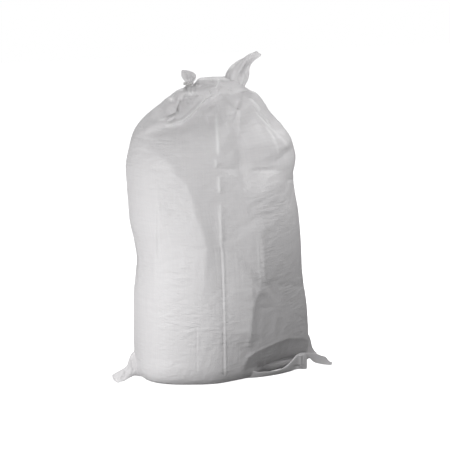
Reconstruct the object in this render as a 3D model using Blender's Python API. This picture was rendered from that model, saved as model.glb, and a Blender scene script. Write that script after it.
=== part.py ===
"""A filled woven polypropylene cement sack, its mouth rolled into two ears, standing on its sewn bottom.

Metres, +Z up. The front faces -Y, the lay-flat width runs along X, and the origin is on the floor below it.
"""

import math

import bmesh
import bpy
from mathutils import Vector

# The filled body is drawn with this many points round and rings up
POINTS_ROUND = 56
RINGS_UP = 34

# The rolled mouth between the two ears
ROLL_LEFT = -0.058
ROLL_RIGHT = 0.026
ROLL_HEIGHT = 0.712
ROLL_RADIUS = 0.0235
ROLL_FLATTENED = 0.88

# The small left ear, whose neck the twine pinches, and the long right ear
EAR_NECK_X = -0.0855
EAR_NECK_RADIUS = 0.0095
NECK_LOW = 0.7175
NECK_HIGH = 0.7285

# The grooves run this far past the ends of the twine and the thread
GROOVE_OVERRUN = 0.0012

# Twine round the left ear and along the back of the rolled mouth, and the thread of the bottom seam
TWINE_RADIUS = 0.0012
TWINE_TURNS = 2.5
TWINE_PITCH = 0.0030
THREAD_RADIUS = 0.0009
SEAM_FROM_CUT_END = 0.0035
GROOVE_CLEARANCE = 0.0004

CLOTH_WHITE = (0.80, 0.80, 0.81, 1.0)
TWINE_WHITE = (0.82, 0.80, 0.76, 1.0)
THREAD_WHITE = (0.86, 0.86, 0.87, 1.0)


def clear_scene():
    for old in list(bpy.data.objects):
        bpy.data.objects.remove(old, do_unlink=True)


def material(name, colour, roughness):
    made = bpy.data.materials.new(name)
    made.use_nodes = True
    shader = made.node_tree.nodes["Principled BSDF"]
    shader.inputs["Base Color"].default_value = colour
    shader.inputs["Roughness"].default_value = roughness
    shader.inputs["Metallic"].default_value = 0.0
    made.diffuse_color = colour
    return made


def new_object(name, mesh, finish):
    mesh.materials.append(finish)
    made = bpy.data.objects.new(name, mesh)
    bpy.context.scene.collection.objects.link(made)
    return made


def blended(stations, t):
    """A Catmull-Rom curve through the stations, whose first number is where each one lies."""
    last = len(stations) - 1
    i = max(k for k in range(last) if stations[k][0] <= t or k == 0)
    before, start = stations[max(i - 1, 0)], stations[i]
    end, after = stations[i + 1], stations[min(i + 2, last)]
    span = end[0] - start[0]
    s = min(max((t - start[0]) / span, 0.0), 1.0)
    values = []
    for a, b, c, d in zip(before[1:], start[1:], end[1:], after[1:]):
        slope_in = (c - a) / max(end[0] - before[0], 1e-9) * span
        slope_out = (d - b) / max(after[0] - start[0], 1e-9) * span
        values.append(
            b
            + s * slope_in
            + s * s * (3 * (c - b) - 2 * slope_in - slope_out)
            + s * s * s * (2 * (b - c) + slope_in + slope_out)
        )
    return values


def squircle(half_width, half_depth, power, angle):
    """A point on a rounded rectangle: power 2 is an ellipse, and a higher power is squarer."""
    c, s = math.cos(angle), math.sin(angle)
    x = math.copysign(abs(c) ** (2 / power), c) * half_width
    y = math.copysign(abs(s) ** (2 / power), s) * half_depth
    return x, y


def bump(x, z, centre_x, centre_z, reach_x, reach_z):
    """1 at the centre of a soft swelling, falling to nothing at its reach."""
    r = math.hypot((x - centre_x) / reach_x, (z - centre_z) / reach_z)
    return (math.cos(math.pi * r) + 1) / 2 if r < 1 else 0.0


# Height, half width, half depth, how far the section stands left of or behind the base, and its squareness
BODY_STATIONS = [
    (0.000, 0.197, 0.088, 0.000, 0.000, 2.7),
    (0.009, 0.214, 0.102, 0.000, 0.000, 2.7),
    (0.030, 0.223, 0.113, 0.000, 0.000, 2.6),
    (0.075, 0.225, 0.121, 0.000, 0.000, 2.2),
    (0.150, 0.222, 0.124, -0.002, 0.000, 2.0),
    (0.225, 0.214, 0.125, -0.007, 0.001, 1.9),
    (0.300, 0.206, 0.124, -0.007, 0.001, 1.9),
    (0.350, 0.206, 0.123, -0.011, 0.002, 1.9),
    (0.400, 0.208, 0.121, -0.019, 0.002, 1.9),
    (0.445, 0.206, 0.118, -0.025, 0.002, 1.9),
    (0.490, 0.207, 0.117, -0.027, 0.002, 1.9),
    (0.535, 0.211, 0.114, -0.025, 0.002, 1.9),
    (0.580, 0.201, 0.106, -0.028, 0.002, 1.9),
    (0.612, 0.186, 0.092, -0.034, 0.002, 1.9),
    (0.633, 0.170, 0.078, -0.036, 0.002, 1.9),
    (0.655, 0.148, 0.061, -0.034, 0.002, 1.95),
    (0.680, 0.119, 0.043, -0.030, 0.001, 2.0),
    (0.698, 0.097, 0.033, -0.031, 0.000, 2.0),
    (0.709, 0.081, 0.027, -0.028, 0.000, 2.0),
    (0.717, 0.056, 0.022, -0.012, 0.000, 2.0),
    (0.727, 0.047, 0.016, -0.013, 0.000, 2.0),
    (0.733, 0.034, 0.008, -0.015, 0.000, 2.0),
]

# Soft swellings, and hollows where the height is negative: x, z, reach across, reach up, height
FRONT_SWELLINGS = [
    (0.110, 0.400, 0.160, 0.360, 0.018),
    (0.010, 0.210, 0.110, 0.190, 0.012),
    (0.008, 0.655, 0.060, 0.085, 0.014),
    (0.150, 0.030, 0.110, 0.050, -0.012),
]
BACK_SWELLINGS = [
    (0.020, 0.600, 0.120, 0.080, -0.010),
    (-0.110, 0.330, 0.120, 0.120, -0.005),
]

# Long soft creases down the front, between flat panels: x and z of the upper and the lower end, reach, height
FRONT_CREASES = [
    ((-0.105, 0.495), (-0.070, 0.060), 0.078, 0.017),
    ((0.014, 0.660), (0.024, 0.430), 0.075, 0.009),
]


def crease(x, z, upper, lower, reach):
    """1 on the line between two points, falling to nothing at its reach."""
    along = Vector(lower) - Vector(upper)
    share = (Vector((x, z)) - Vector(upper)).dot(along) / along.length_squared
    nearest = Vector(upper) + along * min(max(share, 0.0), 1.0)
    return bump(x, z, *nearest, reach, reach)


def body_point(height, angle):
    half_width, half_depth, shift_x, shift_y, power = blended(BODY_STATIONS, height)
    x, y = squircle(half_width, half_depth, power, angle)
    swellings = FRONT_SWELLINGS if y < 0 else BACK_SWELLINGS
    rise = sum(h * bump(x, height, cx, cz, rx, rz) for cx, cz, rx, rz, h in swellings)
    if y < 0:
        rise += sum(h * crease(x, height, upper, lower, reach) for upper, lower, reach, h in FRONT_CREASES)
    rise *= min(1.0, abs(y) / (0.5 * half_depth))
    y += rise if y > 0 else -rise
    return Vector((x + shift_x, y + shift_y, height))


def loft(name, rings, finish):
    """A closed skin through rings of equal count, with a flat face on each end."""
    mesh = bpy.data.meshes.new(name)
    shape = bmesh.new()
    rows = [[shape.verts.new(point) for point in ring] for ring in rings]
    for low, high in zip(rows, rows[1:]):
        for i in range(len(low)):
            j = (i + 1) % len(low)
            shape.faces.new((low[i], low[j], high[j], high[i]))
    shape.faces.new(reversed(rows[0]))
    shape.faces.new(rows[-1])
    bmesh.ops.recalc_face_normals(shape, faces=shape.faces)
    shape.to_mesh(mesh)
    shape.free()
    return new_object(name, mesh, finish)


def filled_body(finish):
    top = BODY_STATIONS[-1][0]
    heights = []
    for i in range(RINGS_UP + 1):
        share = i / RINGS_UP
        # Rings crowd towards the rounded bottom corner and the neck
        heights.append(top * (share - 0.11 * math.sin(2 * math.pi * share)))
    angles = [2 * math.pi * k / POINTS_ROUND for k in range(POINTS_ROUND)]
    rings = [[body_point(h, a) for a in angles] for h in heights]
    return loft("woven_sack", rings, finish)


def leaf_frame(stations, i):
    """Centre, half width and half thickness vectors at a station, the thickness square to the flap's path."""
    centre, width, thickness = stations[i]
    before, after = stations[max(i - 1, 0)][0], stations[min(i + 1, len(stations) - 1)][0]
    path = Vector(after) - Vector(before)
    through = path.cross(Vector(width)).normalized() * thickness
    return Vector(centre), Vector(width), through


def leaf(name, stations, finish, sides=16, power=2.4):
    """A folded flap of cloth through stations of centre, half width as a vector, and half thickness."""
    rings = []
    for i in range(len(stations)):
        centre, width, through = leaf_frame(stations, i)
        ring = []
        for k in range(sides):
            a, b = squircle(1, 1, power, 2 * math.pi * k / sides)
            ring.append(centre + width * a + through * b)
        rings.append(ring)
    return loft(name, rings, finish)


def leaf_face(stations, i, across, side, power):
    """A point on one face of a leaf, across its width from -1 to 1."""
    centre, width, through = leaf_frame(stations, i)
    return centre + width * across + through * side * (1 - abs(across) ** power) ** (1 / power)


def rolled_mouth(finish):
    steps = 10
    stations = []
    for i in range(steps + 1):
        share = i / steps
        x = ROLL_LEFT + (ROLL_RIGHT - ROLL_LEFT) * share
        # The roll swells to its full radius away from the ears
        swell = 0.62 + 0.38 * math.sin(math.pi * (0.12 + 0.70 * share))
        radius = ROLL_RADIUS * swell
        stations.append(((x, 0, ROLL_HEIGHT), (0, 0, radius), radius * ROLL_FLATTENED))
    return leaf("rolled_mouth", stations, finish, sides=18, power=2.0)


def left_mouth_ear(finish):
    x, r = EAR_NECK_X, EAR_NECK_RADIUS
    stations = [
        ((x + 0.004, 0, NECK_LOW - 0.034), (0.028, 0, 0), 0.020),
        ((x + 0.002, 0, NECK_LOW - 0.013), (0.021, 0, 0), 0.014),
        ((x, 0, NECK_LOW), (r, 0, 0), r),
        ((x, 0, NECK_HIGH), (r, 0, 0), r),
        ((x + 0.001, 0.001, NECK_HIGH + 0.010), (0.0190, 0, -0.002), 0.008),
        ((x - 0.001, 0.002, NECK_HIGH + 0.018), (0.0165, 0, -0.003), 0.007),
        ((x - 0.006, 0.003, NECK_HIGH + 0.025), (0.0105, 0, -0.002), 0.005),
        ((x - 0.008, 0.004, NECK_HIGH + 0.029), (0.0045, 0, -0.001), 0.003),
    ]
    return leaf("left_ear", stations, finish, power=2.0)


def right_mouth_ear(finish):
    # Centre x and z, half width, how far the width has turned from level, half thickness
    profile = [
        (0.027, 0.676, 0.026, 0, 0.026),
        (0.031, 0.704, 0.0235, 0, 0.019),
        (0.0345, 0.722, 0.0255, 0, 0.013),
        (0.0380, 0.737, 0.0268, 2, 0.012),
        (0.0435, 0.753, 0.0240, 4, 0.011),
        (0.0530, 0.765, 0.0194, 12, 0.0095),
        (0.0647, 0.775, 0.0138, 22, 0.008),
        (0.0776, 0.783, 0.0099, 37, 0.006),
        (0.0875, 0.788, 0.0074, 47, 0.005),
        (0.0975, 0.788, 0.0032, 55, 0.003),
    ]
    stations = []
    for x, z, half, turn, thick in profile:
        a = math.radians(turn)
        stations.append(((x, 0, z), (half * math.cos(a), 0, -half * math.sin(a)), thick))
    return leaf("right_ear", stations, finish, power=2.2)


# The left corner comes out of the body upright and twists over to lie on the floor
LEFT_CORNER = [
    ((-0.190, 0.000, 0.040), (0.000, 0.0000, 0.0360), 0.0120),
    ((-0.222, 0.001, 0.036), (0.000, 0.0005, 0.0340), 0.0100),
    ((-0.236, 0.002, 0.034), (0.000, 0.0010, 0.0300), 0.0065),
    ((-0.247, 0.003, 0.0245), (0.000, 0.0040, 0.0225), 0.0040),
    ((-0.256, 0.003, 0.0165), (0.000, 0.0090, 0.0140), 0.0028),
    ((-0.268, 0.003, 0.0110), (-0.001, 0.0140, 0.0075), 0.0024),
    ((-0.279, 0.0025, 0.0078), (-0.004, 0.0155, 0.0050), 0.0020),
]

# The right corner is narrower, lies on the floor and sweeps forward
RIGHT_CORNER = [
    ((0.190, -0.005, 0.040), (0.000, 0.000, 0.0340), 0.0130),
    ((0.216, -0.014, 0.028), (0.002, 0.008, 0.0240), 0.0090),
    ((0.232, -0.029, 0.0145), (0.008, 0.022, 0.0105), 0.0034),
    ((0.247, -0.045, 0.0088), (0.008, 0.022, 0.0055), 0.0026),
    ((0.262, -0.060, 0.0062), (0.006, 0.018, 0.0035), 0.0022),
    ((0.272, -0.072, 0.0050), (0.004, 0.011, 0.0022), 0.0018),
]

# The folded bottom hem is squeezed out along the front right of the base and ends in an upright cut edge
HEM_FLAP = [
    ((0.020, -0.0950, 0.0085), (0.000, -0.0060, 0.0070), 0.0042),
    ((0.070, -0.0985, 0.0100), (0.000, -0.0080, 0.0090), 0.0048),
    ((0.115, -0.0970, 0.0130), (0.000, -0.0080, 0.0120), 0.0046),
    ((0.150, -0.0940, 0.0220), (0.000, -0.0065, 0.0210), 0.0042),
    ((0.175, -0.0945, 0.0280), (0.001, -0.0045, 0.0270), 0.0034),
    ((0.188, -0.0970, 0.0280), (0.002, -0.0030, 0.0268), 0.0028),
]
FLAP_POWER = 2.6


def left_bottom_corner(finish):
    return leaf("left_corner", LEFT_CORNER, finish, power=FLAP_POWER)


def right_bottom_corner(finish):
    return leaf("right_corner", RIGHT_CORNER, finish, power=FLAP_POWER)


def hem_flap(finish):
    return leaf("hem_flap", HEM_FLAP, finish, power=FLAP_POWER)


def tube(name, points, radius, finish, resolution=2):
    curve = bpy.data.curves.new(name, "CURVE")
    curve.dimensions = "3D"
    curve.bevel_depth = radius
    curve.bevel_resolution = resolution
    curve.use_fill_caps = True
    line = curve.splines.new("POLY")
    line.points.add(len(points) - 1)
    for spot, point in zip(line.points, points):
        spot.co = (*point, 1.0)
    return new_object(name, curve, finish)


def as_mesh(obj):
    """The curve's evaluated tube as a welded mesh object, which a Boolean can read."""
    graph = bpy.context.evaluated_depsgraph_get()
    mesh = bpy.data.meshes.new_from_object(obj.evaluated_get(graph))
    shape = bmesh.new()
    shape.from_mesh(mesh)
    bmesh.ops.remove_doubles(shape, verts=shape.verts, dist=1e-6)
    bmesh.ops.recalc_face_normals(shape, faces=shape.faces)
    shape.to_mesh(mesh)
    shape.free()
    made = bpy.data.objects.new(obj.name + "_mesh", mesh)
    bpy.context.scene.collection.objects.link(made)
    bpy.data.objects.remove(obj, do_unlink=True)
    return made


def smooth_route(points, step):
    """Points every step metres along a Catmull-Rom curve through the route's own points."""
    stations = [(float(i), *point) for i, point in enumerate(points)]
    fine = [Vector(blended(stations, i / 40)) for i in range(40 * (len(points) - 1) + 1)]
    route = [fine[0]]
    for point in fine[1:-1]:
        if (point - route[-1]).length >= step:
            route.append(point)
    route.append(fine[-1])
    return route


def twine_route():
    """A short tail, two and a half turns round the left ear's neck, then along the back of the roll."""
    coil_radius = EAR_NECK_RADIUS + TWINE_RADIUS
    start = math.radians(-100)
    steps = int(TWINE_TURNS * 20)
    low = NECK_LOW + 0.0025
    coil = []
    for i in range(steps + 1):
        angle = start + 2 * math.pi * TWINE_TURNS * i / steps
        height = low + TWINE_PITCH * TWINE_TURNS * i / steps
        x = EAR_NECK_X + coil_radius * math.cos(angle)
        coil.append(Vector((x, coil_radius * math.sin(angle), height)))
    tail = [
        (-0.0775, -0.0264, 0.7010),
        (-0.0800, -0.0238, 0.7060),
        (-0.0832, -0.0178, 0.7108),
        (-0.0868, -0.0130, 0.7155),
        coil[0],
    ]
    along_back = [
        coil[-1],
        (-0.0765, 0.0108, 0.7240),
        (-0.070, 0.0160, 0.7160),
        (-0.052, 0.0205, 0.7140),
        (-0.030, 0.0228, 0.7130),
        (-0.008, 0.0230, 0.7125),
        (0.014, 0.0215, 0.7135),
        (0.036, 0.0192, 0.7150),
        (0.056, 0.0140, 0.7170),
    ]
    return smooth_route(tail, 0.003)[:-1] + coil[:-1] + smooth_route(along_back, 0.005)


def seam_route():
    """Along the top of the left corner, across the underside, along the hem flap and up its cut end."""
    low = THREAD_RADIUS + 0.0001
    corner = [leaf_face(LEFT_CORNER, i, -0.30, -1, FLAP_POWER) for i in (6, 5, 4, 3)]
    corner[0] += Vector((0.0015, 0, 0))
    underside = [
        (-0.2300, -0.0130, 0.0135),
        (-0.2140, -0.0150, 0.0070),
        (-0.1980, -0.0140, low),
        (-0.1600, -0.0120, low),
        (-0.1000, -0.0150, low),
        (-0.0300, -0.0300, low),
        (0.0300, -0.0540, low),
        (0.0750, -0.0760, low),
        (0.1020, -0.0880, low),
    ]
    flap = [leaf_face(HEM_FLAP, i, across, 1, FLAP_POWER) for i, across in ((3, -0.80), (4, -0.66))]
    cut_end = [leaf_face(HEM_FLAP, 5, across, 1, FLAP_POWER) for across in (-0.45, 0.0, 0.45, 0.78)]
    flap += [point - Vector((SEAM_FROM_CUT_END, 0, 0)) for point in cut_end]
    route = smooth_route(corner + underside + flap, 0.006)
    return [Vector((point.x, point.y, max(point.z, low))) for point in route]


def boolean(target, other, operation):
    cut = target.modifiers.new(operation.lower() + "_" + other.name, "BOOLEAN")
    cut.operation = operation
    cut.solver = "EXACT"
    cut.object = other
    other.hide_render = True
    other.display_type = "WIRE"


def build():
    clear_scene()
    cloth = material("woven_polypropylene", CLOTH_WHITE, 0.48)
    twine_finish = material("mouth_twine", TWINE_WHITE, 0.8)
    thread_finish = material("seam_thread", THREAD_WHITE, 0.7)

    sack = filled_body(cloth)
    flaps = (rolled_mouth, left_mouth_ear, right_mouth_ear, left_bottom_corner, right_bottom_corner, hem_flap)
    for make in flaps:
        boolean(sack, make(cloth), "UNION")

    # The twine and the thread bed a little into the cloth, each in a groove of its own path
    twine = twine_route()
    thread = seam_route()
    for name, route, radius in (
        ("twine_groove", twine, TWINE_RADIUS),
        ("thread_groove", thread, THREAD_RADIUS),
    ):
        lengthened = list(route)
        lengthened[0] = route[0] + (route[0] - route[1]).normalized() * GROOVE_OVERRUN
        lengthened[-1] = route[-1] + (route[-1] - route[-2]).normalized() * GROOVE_OVERRUN
        groove = as_mesh(tube(name, lengthened, radius + GROOVE_CLEARANCE, cloth, resolution=2))
        boolean(sack, groove, "DIFFERENCE")
    tube("mouth_twine", twine, TWINE_RADIUS, twine_finish)
    tube("bottom_seam_thread", thread, THREAD_RADIUS, thread_finish)

    sack.data.shade_smooth()
    sack.data.set_sharp_from_angle(angle=math.radians(40))


build()
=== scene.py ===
# %% [markdown]
# # A filled cement sack
# The object is one woven polypropylene sack, full of cement powder. It stands on its sewn bottom, and its
# mouth is rolled shut and tied into two ears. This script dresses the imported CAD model: it loads the model
# as a fixed frame, builds the cloth around it, gives every piece its finish, and sets the studio.

# %% Load the frame
import math

import bpy
import numpy as np
from mathutils import Matrix, Vector


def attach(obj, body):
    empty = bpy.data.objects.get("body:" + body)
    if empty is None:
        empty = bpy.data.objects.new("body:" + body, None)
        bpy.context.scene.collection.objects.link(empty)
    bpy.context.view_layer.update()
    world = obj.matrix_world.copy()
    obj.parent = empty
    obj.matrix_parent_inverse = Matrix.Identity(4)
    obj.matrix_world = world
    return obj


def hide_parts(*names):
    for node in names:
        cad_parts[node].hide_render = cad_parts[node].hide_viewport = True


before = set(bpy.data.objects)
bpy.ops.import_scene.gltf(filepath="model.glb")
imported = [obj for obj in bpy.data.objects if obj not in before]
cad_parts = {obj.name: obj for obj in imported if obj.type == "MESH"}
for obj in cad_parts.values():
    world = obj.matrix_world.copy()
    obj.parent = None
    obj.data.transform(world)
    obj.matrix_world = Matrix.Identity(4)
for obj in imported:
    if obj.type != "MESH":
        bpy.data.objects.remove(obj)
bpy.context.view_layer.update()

# %% [markdown]
# ## Camera
# The photograph looks from 20 degrees to the left of the front and 15 degrees above level, with a long
# lens. The camera comes first, because the folds are placed where the photograph shows them.

# %% Camera at the photograph's angle
PHOTO_SIDE = 450
CAMERA_TURN = math.radians(-20)
CAMERA_RISE = math.radians(15)
CAMERA_DISTANCE = 3.0
METRES_PER_PIXEL = 0.00245
FOCAL_PIXELS = CAMERA_DISTANCE / METRES_PER_PIXEL
SENSOR_WIDTH = 36
AIM = Vector((0.0, 0.0, 0.372))
AIM_PIXEL = (222.5, 224.8)

toward_camera = Vector((
    math.sin(CAMERA_TURN) * math.cos(CAMERA_RISE),
    -math.cos(CAMERA_TURN) * math.cos(CAMERA_RISE),
    math.sin(CAMERA_RISE),
))
camera_right = Vector((math.cos(CAMERA_TURN), math.sin(CAMERA_TURN), 0.0))
camera_up = toward_camera.cross(camera_right)
offset_right = (PHOTO_SIDE / 2 - AIM_PIXEL[0]) * METRES_PER_PIXEL
offset_up = (AIM_PIXEL[1] - PHOTO_SIDE / 2) * METRES_PER_PIXEL
camera_place = AIM + camera_right * offset_right + camera_up * offset_up + toward_camera * CAMERA_DISTANCE

camera_data = bpy.data.cameras.new("photo_camera")
camera_data.sensor_width = SENSOR_WIDTH
camera_data.lens = FOCAL_PIXELS * SENSOR_WIDTH / PHOTO_SIDE
camera = bpy.data.objects.new("photo_camera", camera_data)
camera.location = camera_place
camera.rotation_euler = toward_camera.to_track_quat("Z", "Y").to_euler()
bpy.context.scene.collection.objects.link(camera)
bpy.context.scene.camera = camera
print("lens", round(camera_data.lens, 1), "mm")

# %% [markdown]
# ## From a point to a pixel, and back
# One photograph doesn't give the place of a fold, but it does give the pixel where the fold shows. The
# lens is known, so a point of the object leads to a pixel. A pixel with a chosen depth leads back to a
# point.

# %% The pixel where a point shows
def seen_at(points):
    """Pixel of the 450 by 450 photograph where each point shows."""
    local = np.asarray(points) - np.array(camera_place)
    depth = -(local @ np.array(toward_camera))
    across = PHOTO_SIDE / 2 + FOCAL_PIXELS * (local @ np.array(camera_right)) / depth
    down = PHOTO_SIDE / 2 - FOCAL_PIXELS * (local @ np.array(camera_up)) / depth
    return across, down


print("the aim shows at pixel", np.round(seen_at([AIM]), 1).ravel().tolist())


# %% The point that shows at a pixel
def spot(across, down, y):
    """The point that shows at a pixel, on the upright plane at this y."""
    ray = -toward_camera + camera_right * ((across - PHOTO_SIDE / 2) / FOCAL_PIXELS)
    ray += camera_up * ((PHOTO_SIDE / 2 - down) / FOCAL_PIXELS)
    return camera_place + ray * ((y - camera_place.y) / ray.y)


print("and that pixel leads back to", np.round(spot(*AIM_PIXEL, AIM.y), 3).tolist())

# %% [markdown]
# ## The filled body
# A full sack is flat where it stands, round in its sides, and gathered towards its mouth. A stretched cube
# or a sculpted ball would do from far off. A loft through sections keeps a chosen width and depth at each
# height, and the sections below follow the CAD solid, so the cloth lies in the space that the solid holds.

# %% Sections of the filled body
# Height, half width, half depth, shift right, shift back, squareness
SECTIONS = np.array([
    (0.000, 0.197, 0.080, 0.000, 0.000, 2.7),
    (0.009, 0.214, 0.098, 0.000, 0.000, 2.7),
    (0.030, 0.223, 0.113, 0.000, 0.000, 2.6),
    (0.075, 0.225, 0.121, 0.000, 0.000, 2.2),
    (0.150, 0.222, 0.124, -0.002, 0.000, 2.0),
    (0.225, 0.214, 0.125, -0.007, 0.001, 1.9),
    (0.300, 0.206, 0.124, -0.007, 0.001, 1.9),
    (0.350, 0.206, 0.123, -0.011, 0.002, 1.9),
    (0.400, 0.208, 0.121, -0.019, 0.002, 1.9),
    (0.445, 0.206, 0.118, -0.025, 0.002, 1.9),
    (0.490, 0.207, 0.117, -0.027, 0.002, 1.9),
    (0.535, 0.211, 0.114, -0.025, 0.002, 1.9),
    (0.580, 0.201, 0.106, -0.028, 0.002, 1.9),
    (0.612, 0.186, 0.092, -0.034, 0.002, 1.9),
    (0.633, 0.170, 0.078, -0.036, 0.002, 1.9),
    (0.655, 0.148, 0.061, -0.034, 0.002, 1.95),
    (0.680, 0.119, 0.043, -0.030, 0.001, 2.0),
    (0.698, 0.097, 0.0335, -0.030, 0.0000, 2.0),
    (0.710, 0.081, 0.0270, -0.028, -0.0050, 2.0),
    (0.720, 0.059, 0.0245, -0.014, -0.0045, 2.0),
    (0.729, 0.051, 0.0195, -0.014, -0.0055, 2.0),
    (0.734, 0.045, 0.0125, -0.015, -0.0045, 2.0),
    (0.7358, 0.041, 0.0040, -0.016, -0.0020, 2.0),
])


def through(stations, at):
    """Smooth curve through the stations, evaluated at many places."""
    x = stations[:, 0]
    i = np.clip(np.searchsorted(x, at, side="right") - 1, 0, len(x) - 2)
    before, after = np.maximum(i - 1, 0), np.minimum(i + 2, len(x) - 1)
    span = x[i + 1] - x[i]
    s = np.clip((at - x[i]) / span, 0, 1)[:, None]
    p, start, end, q = (stations[k, 1:] for k in (before, i, i + 1, after))
    slope_in = (end - p) / (x[i + 1] - x[before])[:, None] * span[:, None]
    slope_out = (q - start) / (x[after] - x[i])[:, None] * span[:, None]
    return (
        start
        + s * slope_in
        + s**2 * (3 * (end - start) - 2 * slope_in - slope_out)
        + s**3 * (2 * (start - end) + slope_in + slope_out)
    )


# %% How the cloth is divided
AROUND = 190
ROWS = 170
# Rows lie closer together near the floor and near the crest
ROW_CROWDING = 0.05
# The points of a row crowd towards the side that the photograph shows
FRONT_CROWDING = 0.42

share = np.linspace(0, 1, ROWS)
row_heights = SECTIONS[-1, 0] * (share - ROW_CROWDING * np.sin(2 * np.pi * share))
sections = through(SECTIONS, row_heights)
turn = np.linspace(0, 2 * np.pi, AROUND, endpoint=False) - np.pi / 2
angles = turn - FRONT_CROWDING * np.sin(turn + np.pi / 2 - CAMERA_TURN)
print(ROWS, "rows of", AROUND, "points")

# %% Rows of points, from the middle of the underside to the crest
# The sack was stored flat, and the creases of its two edges still stand out at both ends of each section
EDGE_CREASE, EDGE_REACH = 0.005, 0.16
CREASE_TOP, CREASE_FADE = 0.64, 0.10
UNDERSIDE_INSETS = (0.30, 0.60, 0.85)


def ring(half_width, half_depth, shift_x, shift_y, power, height):
    """One section, squarer for a higher power, with the creases of the two edges."""
    c, s = np.cos(angles), np.sin(angles)
    crease = EDGE_CREASE * np.clip(height / CREASE_FADE, 0, 1)
    crease = crease * np.clip((CREASE_TOP - height) / CREASE_FADE, 0, 1)
    crease = crease * np.exp(-np.abs(s) / EDGE_REACH)
    x = np.sign(c) * (np.abs(c) ** (2 / power) * half_width + crease) + shift_x
    y = np.sign(s) * np.abs(s) ** (2 / power) * half_depth + shift_y
    return np.stack([x, y, np.full(AROUND, height)], axis=1)


rings = [ring(*section, height) for section, height in zip(sections, row_heights)]
underside = [rings[0] * (inset, inset, 1) for inset in UNDERSIDE_INSETS]
points = np.concatenate(underside + rings)
print(len(points), "points in the cloth")

# %% [markdown]
# ## A skin with its own measure
# The rows of points become one closed skin of four-sided faces. Its UV map is the sack's cloth laid flat,
# in metres. A pattern that is drawn on it keeps its size and bends with each fold, where one that is
# projected from outside would stretch over them.

# %% Select one piece
def only(piece):
    """Select this piece alone, because an operator acts on all that is selected."""
    bpy.ops.object.select_all(action="DESELECT")
    bpy.context.view_layer.objects.active = piece
    piece.select_set(True)


# %% A closed skin with the flat cloth as its UV map
def skin(name, points, around, girth):
    """A closed tube through rows of points.

    Its UV map is the flat cloth in metres, with the girth across and the length up.
    """
    rows = len(points) // around
    faces, columns = [], []
    for j in range(rows - 1):
        for i in range(around):
            k = (i + 1) % around
            a, b = j * around, (j + 1) * around
            faces.append((a + i, a + k, b + k, b + i))
            columns.append((i, i + 1, i + 1, i))
    low, high = len(points), len(points) + 1
    top = (rows - 1) * around
    for i in range(around):
        faces.append((low, (i + 1) % around, i))
        faces.append((top + i, top + (i + 1) % around, high))
        columns.append((i + 0.5, i + 1, i))
        columns.append((i, i + 1, i + 0.5))
    verts = [tuple(p) for p in points]
    verts.append(tuple(points[:around].mean(axis=0)))
    verts.append(tuple(points[top:].mean(axis=0)))
    mesh = bpy.data.meshes.new(name)
    mesh.from_pydata(verts, [], faces)

    column = points.reshape(-1, around, 3)[:, 0]
    gone = np.concatenate([[0], np.cumsum(np.linalg.norm(np.diff(column, axis=0), axis=1))])
    height_of = np.concatenate([np.repeat(gone, around), [gone[0], gone[-1]]])
    flat = mesh.uv_layers.new(name="flat_cloth")
    corners = np.concatenate(columns) * girth / around
    heights = height_of[np.concatenate(faces)]
    flat.data.foreach_set("uv", np.stack([corners, heights], axis=1).ravel())

    made = bpy.data.objects.new(name, mesh)
    bpy.context.scene.collection.objects.link(made)
    only(made)
    bpy.ops.object.mode_set(mode="EDIT")
    bpy.ops.mesh.select_all(action="SELECT")
    bpy.ops.mesh.normals_make_consistent(inside=False)
    bpy.ops.object.mode_set(mode="OBJECT")
    return made


CLOTH_ROUND = 1.10
sack = skin("sack_body", points, AROUND, CLOTH_ROUND)
print(sack.name, len(sack.data.polygons), "faces")


# %% Reading and moving the cloth's points
def points_of(piece):
    """The place of each point of a piece, a row each."""
    spots = np.zeros(len(piece.data.vertices) * 3)
    piece.data.vertices.foreach_get("co", spots)
    return spots.reshape(-1, 3)


def normals_of(piece):
    """The direction in which the cloth faces at each point."""
    directions = np.zeros(len(piece.data.vertices) * 3)
    piece.data.vertices.foreach_get("normal", directions)
    return directions.reshape(-1, 3)


def push(piece, distance):
    """Move each point along its normal by its own distance."""
    moved = points_of(piece) + normals_of(piece) * distance[:, None]
    moved[:, 2] = np.maximum(moved[:, 2], 0.0)
    piece.data.vertices.foreach_set("co", moved.ravel())
    piece.data.update()


# %% [markdown]
# ## Folds drawn as strokes
# Seen across, a fold is a simple profile: a ridge, a groove, a crease between two flat panels, or a step.
# It could be sculpted with a brush, but then no one could read or correct it later. Here each fold is a
# stroke: a line, a height in metres and the reach to its sides. It moves the cloth's points along their
# normals. On the front a line is written in pixels of the photograph, so a fold lands where the photograph
# shows it.

# %% How far along a line each point lies, and how far to its side
def along(line, across, down):
    """How far along a drawn line each pixel lies, from 0 to 1, and how far to its right side."""
    line = np.asarray(line, float)
    starts, steps = line[:-1], np.diff(line, axis=0)
    lengths = np.hypot(*steps.T)
    done = np.concatenate([[0], np.cumsum(lengths)])
    best = np.full(len(across), np.inf)
    where, side = np.zeros(len(across)), np.zeros(len(across))
    for start, step, length, gone in zip(starts, steps, lengths, done):
        dx, dy = across - start[0], down - start[1]
        t = np.clip((dx * step[0] + dy * step[1]) / length**2, 0, 1)
        away = np.hypot(dx - t * step[0], dy - t * step[1])
        nearer = away < best
        turned = np.sign(step[0] * dy - step[1] * dx)
        best = np.where(nearer, away, best)
        where = np.where(nearer, (gone + t * length) / done[-1], where)
        side = np.where(nearer, turned, side)
    return where, best * side


# %% How a stroke begins, ends and changes across its line
def fade(where, start=0.15, end=0.15):
    """Rises smoothly from the start of a line and falls smoothly to its end."""
    rise = np.clip(where / start, 0, 1)
    fall = np.clip((1 - where) / end, 0, 1)
    return rise**2 * (3 - 2 * rise) * fall**2 * (3 - 2 * fall)


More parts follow.
